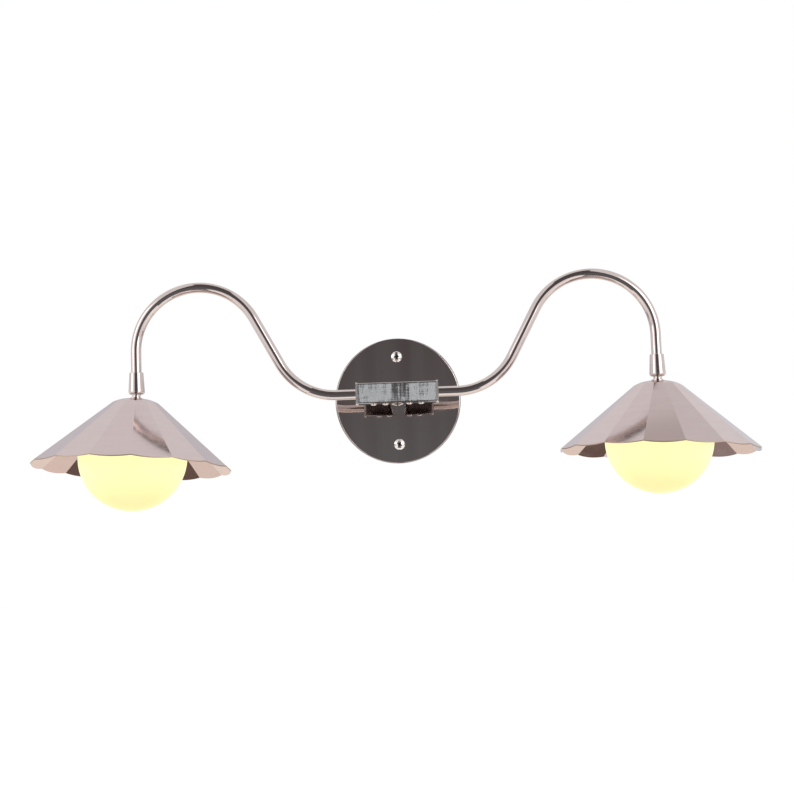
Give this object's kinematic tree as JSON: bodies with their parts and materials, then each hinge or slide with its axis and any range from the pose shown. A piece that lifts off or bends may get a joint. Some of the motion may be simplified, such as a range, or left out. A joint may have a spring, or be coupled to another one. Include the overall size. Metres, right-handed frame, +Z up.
{
  "type": "double arm wall sconce",
  "caption": "Wall sconce with swan-neck tube arms on a round backplate, each arm holding a fluted cone shade and a lit opal globe on a friction ball swivel.",
  "frame": {"origin": "centre of the backplate, on the wall plane", "axes": "+X to the viewer's right, +Y into the wall, +Z up; the fixture stands out from the wall along -Y"},
  "size_m": [0.6612, 0.2174, 0.2101],
  "materials": {
    "polished_nickel": "polished warm nickel plate",
    "bright_nickel": "bright nickel plated screw",
    "satin_nickel": "satin nickel plated sheet, softly reflecting",
    "zinc_steel": "zinc plated steel",
    "spring_steel": "blued spring steel",
    "friction_polymer": "plain acetal",
    "silicone": "pale silicone rubber",
    "ceramic": "glazed ceramic",
    "contact_bronze": "plain bronze strip",
    "opal_glass": "glossy opal glass, lit from inside",
    "lamp_glass": "clear lamp glass",
    "pin_wire": "plain nickel wire"
  },
  "bodies": {
    "fixture": {"backplate": "polished_nickel", "crossbar": "zinc_steel", "canopy_screws": "bright_nickel", "ground_screw": "zinc_steel", "stem": "polished_nickel", "wall_nipple": "zinc_steel", "bar_nipple": "zinc_steel", "lock_washer": "zinc_steel", "nipple_nut": "zinc_steel", "body_bar": "polished_nickel", "end_cap_left": "polished_nickel", "end_cap_right": "polished_nickel", "arm_set_screws": "bright_nickel", "arm_left": "polished_nickel", "arm_right": "polished_nickel", "swivel_cup_left": "polished_nickel", "swivel_cap_left": "polished_nickel", "disc_springs_left": "spring_steel", "swivel_cup_right": "polished_nickel", "swivel_cap_right": "polished_nickel", "disc_springs_right": "spring_steel"},
    "left_pad": {"friction_pad_left": "friction_polymer"},
    "left_ball": {"swivel_ball_left": "polished_nickel"},
    "left_lamp": {"shade_nut_left": "polished_nickel", "shade_left": "satin_nickel", "globe_carrier_left": "zinc_steel", "globe_gasket_left": "silicone", "lock_nut_left": "zinc_steel", "lampholder_left": "ceramic", "socket_contacts_left": "contact_bronze", "globe_left": "opal_glass", "lamp_capsule_left": "lamp_glass", "lamp_pins_left": "pin_wire"},
    "right_pad": {"friction_pad_right": "friction_polymer"},
    "right_ball": {"swivel_ball_right": "polished_nickel"},
    "right_lamp": {"shade_nut_right": "polished_nickel", "shade_right": "satin_nickel", "globe_carrier_right": "zinc_steel", "globe_gasket_right": "silicone", "lock_nut_right": "zinc_steel", "lampholder_right": "ceramic", "socket_contacts_right": "contact_bronze", "globe_right": "opal_glass", "lamp_capsule_right": "lamp_glass", "lamp_pins_right": "pin_wire"}
  },
  "joints": [
    {"name": "left_turn", "type": "hinge", "parent": "fixture", "child": "left_pad", "pos_m": [-0.241, -0.12, 0.011], "axis": [0, 0, 1], "range_deg": [-90, 90]},
    {"name": "left_tilt", "type": "hinge", "parent": "left_pad", "child": "left_ball", "pos_m": [-0.241, -0.12, 0.011], "axis": [-0.9311, 0.3649, 0], "range_deg": [-25.1, 10.9]},
    {"name": "left_spin", "type": "hinge", "parent": "left_ball", "child": "left_lamp", "pos_m": [-0.241, -0.12, 0.011], "axis": [0.0451, 0.1151, 0.9923], "range_deg": [-90, 90]},
    {"name": "right_turn", "type": "hinge", "parent": "fixture", "child": "right_pad", "pos_m": [0.241, -0.12, 0.011], "axis": [0, 0, 1], "range_deg": [-90, 90]},
    {"name": "right_tilt", "type": "hinge", "parent": "right_pad", "child": "right_ball", "pos_m": [0.241, -0.12, 0.011], "axis": [-0.8329, 0.5534, 0], "range_deg": [-22.3, 13.7]},
    {"name": "right_spin", "type": "hinge", "parent": "right_ball", "child": "right_lamp", "pos_m": [0.241, -0.12, 0.011], "axis": [0.0415, 0.0625, 0.9972], "range_deg": [-90, 90]}
  ]
}
